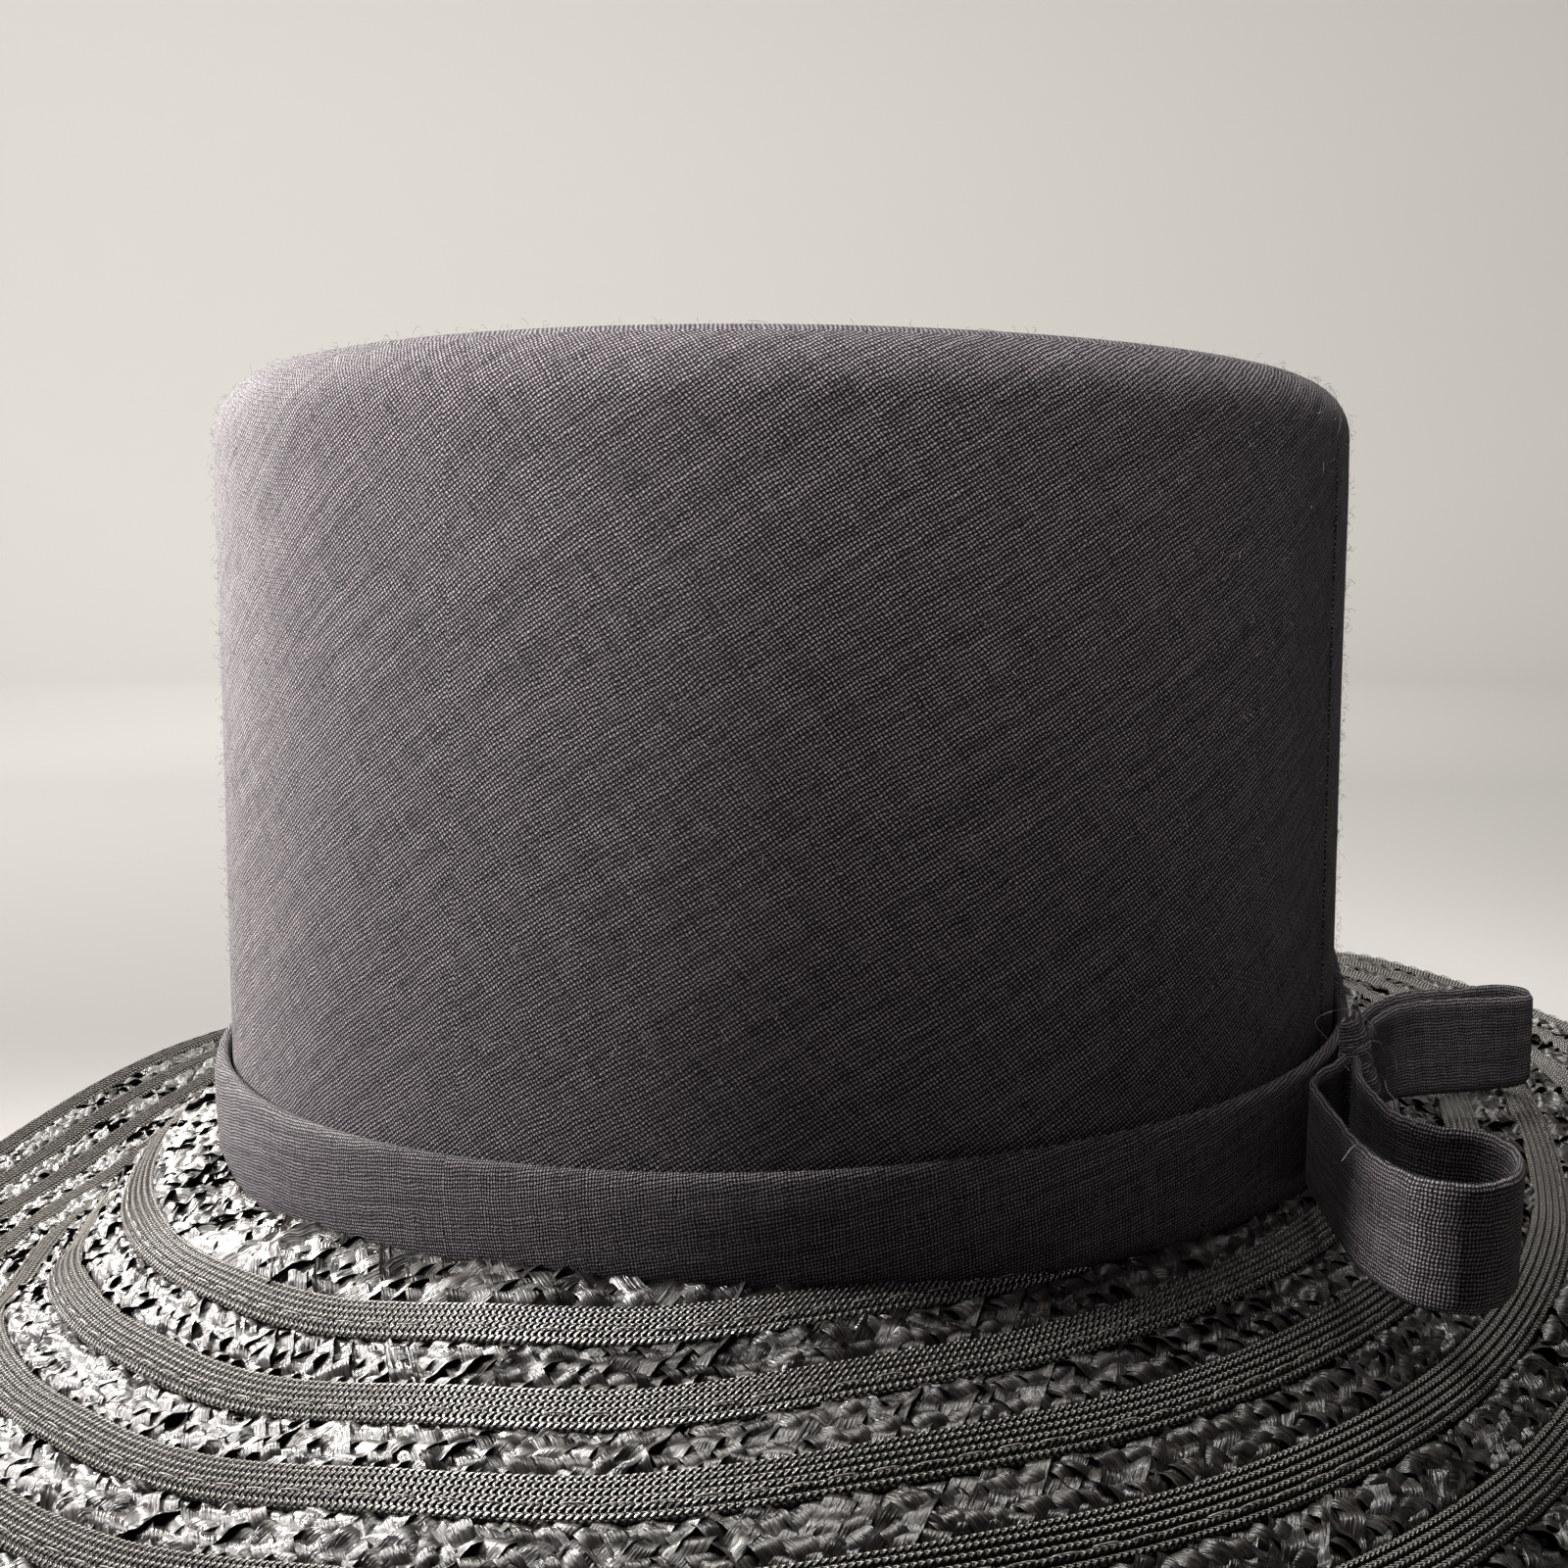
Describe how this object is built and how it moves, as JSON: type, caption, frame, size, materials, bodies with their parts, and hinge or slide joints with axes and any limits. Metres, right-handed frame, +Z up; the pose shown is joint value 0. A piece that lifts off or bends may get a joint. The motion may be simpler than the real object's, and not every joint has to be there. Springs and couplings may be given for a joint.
{
  "type": "wide brim hat",
  "caption": "Tall flat topped crown in woven cloth, on a wide waved brim of straw and horsehair braid, with a folded band and a bow.",
  "frame": {"origin": "bottom centre of the hat's box, on the surface that the brim rests on", "axes": "+Z up through the crown, front of the hat towards -Y, bow at +Y"},
  "size_m": [0.3658, 0.3544, 0.1627],
  "materials": {
    "cloth": "matt black plain weave with slubs",
    "straw_braid": "glossy black plaited straw",
    "horsehair_braid": "satin black ribbed braid"
  },
  "bodies": {
    "root": {"crown": "cloth", "hat_band": "cloth", "bow_knot": "cloth", "bow_loop_left": "cloth", "bow_loop_right": "cloth", "horsehair_row_1": "horsehair_braid", "horsehair_row_2": "horsehair_braid", "horsehair_row_3": "horsehair_braid", "horsehair_row_4": "horsehair_braid", "horsehair_row_5": "horsehair_braid", "horsehair_row_6": "horsehair_braid", "horsehair_row_7": "horsehair_braid", "horsehair_row_8": "horsehair_braid", "straw_row_1": "straw_braid", "straw_row_2": "straw_braid", "straw_row_3": "straw_braid", "straw_row_4": "straw_braid", "straw_row_5": "straw_braid", "straw_row_6": "straw_braid", "straw_row_7": "straw_braid"}
  },
  "joints": []
}
